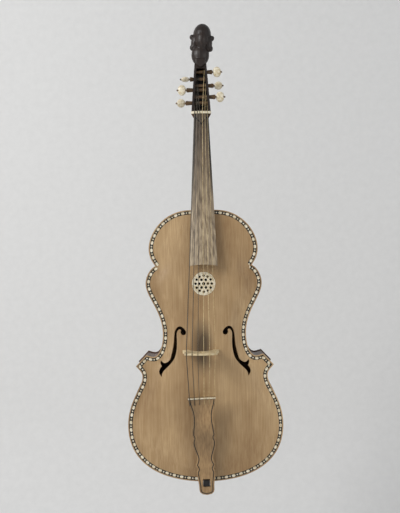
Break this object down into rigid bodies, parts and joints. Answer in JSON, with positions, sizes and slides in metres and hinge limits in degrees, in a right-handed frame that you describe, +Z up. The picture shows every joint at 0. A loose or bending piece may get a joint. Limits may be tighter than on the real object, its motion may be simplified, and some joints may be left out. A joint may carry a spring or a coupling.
{
  "type": "bass viol",
  "caption": "Large bowed string instrument: notched flat-backed body, arched front, flame-shaped sound holes, rose, carved head, side pegs, high bridge and a tailpiece on a hook bar.",
  "frame": {"origin": "on the flat back's outer face, on the centre line, level with the widest part of the lower bout", "axes": "+Z up along the strings to the head, +Y out of the back, +X to the treble side as seen from the front"},
  "size_m": [0.424, 0.2253, 1.2983],
  "materials": {
    "belly": "satin varnish",
    "back_and_ribs": "satin varnish",
    "dark_wood": "satin varnish",
    "fingerboard_wood": "worn satin",
    "inside_pine": "bare",
    "ebony": "polished",
    "peg_wood": "polished",
    "bridge_wood": "bare",
    "bone": "polished bone",
    "gut": "oiled gut",
    "wound_gut": "tarnished wire over gut",
    "tailpiece_wood": "satin varnish"
  },
  "bodies": {
    "viol": {"soundboard": "belly", "back_plate": "back_and_ribs", "neck": "back_and_ribs", "left_lower_rib": "back_and_ribs", "left_corner_rib": "back_and_ribs", "left_waist_rib": "back_and_ribs", "left_upper_rib": "back_and_ribs", "right_lower_rib": "back_and_ribs", "right_corner_rib": "back_and_ribs", "right_waist_rib": "back_and_ribs", "right_upper_rib": "back_and_ribs", "pegbox": "dark_wood", "head": "dark_wood", "tailpiece": "tailpiece_wood", "rose": "bone", "fingerboard": "fingerboard_wood", "top_block": "inside_pine", "end_block": "inside_pine", "left_corner_block": "inside_pine", "right_corner_block": "inside_pine", "left_notch_block": "inside_pine", "right_notch_block": "inside_pine", "bass_bar": "inside_pine", "sound_post": "inside_pine", "sound_post_plate": "inside_pine", "upper_back_bar": "inside_pine", "lower_back_bar": "inside_pine", "tail_hook": "ebony", "bridge": "bridge_wood", "nut": "bone", "rose_ring": "bone", "tailpiece_saddle": "bone", "string_1": "gut", "string_2": "gut", "string_3": "gut", "string_4": "wound_gut", "string_5": "wound_gut", "string_6": "wound_gut"},
    "peg_6": {"peg_6_shaft": "peg_wood", "peg_6_head": "bone", "string_6_winding": "wound_gut"},
    "peg_1": {"peg_1_shaft": "peg_wood", "peg_1_head": "bone", "string_1_winding": "gut"},
    "peg_5": {"peg_5_shaft": "peg_wood", "peg_5_head": "bone", "string_5_winding": "wound_gut"},
    "peg_2": {"peg_2_shaft": "peg_wood", "peg_2_head": "bone", "string_2_winding": "gut"},
    "peg_4": {"peg_4_shaft": "peg_wood", "peg_4_head": "bone", "string_4_winding": "wound_gut"},
    "peg_3": {"peg_3_shaft": "peg_wood", "peg_3_head": "bone", "string_3_winding": "gut"}
  },
  "joints": [
    {"name": "peg_6_turn", "type": "hinge", "parent": "viol", "child": "peg_6", "pos_m": [0, -0.088, 0.8824], "axis": [-1, 0, 0], "continuous": true},
    {"name": "peg_1_turn", "type": "hinge", "parent": "viol", "child": "peg_1", "pos_m": [0, -0.08458, 0.89917], "axis": [1, 0, 0], "continuous": true},
    {"name": "peg_5_turn", "type": "hinge", "parent": "viol", "child": "peg_5", "pos_m": [0, -0.08044, 0.91945], "axis": [-1, 0, 0], "continuous": true},
    {"name": "peg_2_turn", "type": "hinge", "parent": "viol", "child": "peg_2", "pos_m": [0, -0.07801, 0.93136], "axis": [1, 0, 0], "continuous": true},
    {"name": "peg_4_turn", "type": "hinge", "parent": "viol", "child": "peg_4", "pos_m": [0, -0.07414, 0.95032], "axis": [-1, 0, 0], "continuous": true},
    {"name": "peg_3_turn", "type": "hinge", "parent": "viol", "child": "peg_3", "pos_m": [0, -0.07, 0.9706], "axis": [1, 0, 0], "continuous": true}
  ]
}
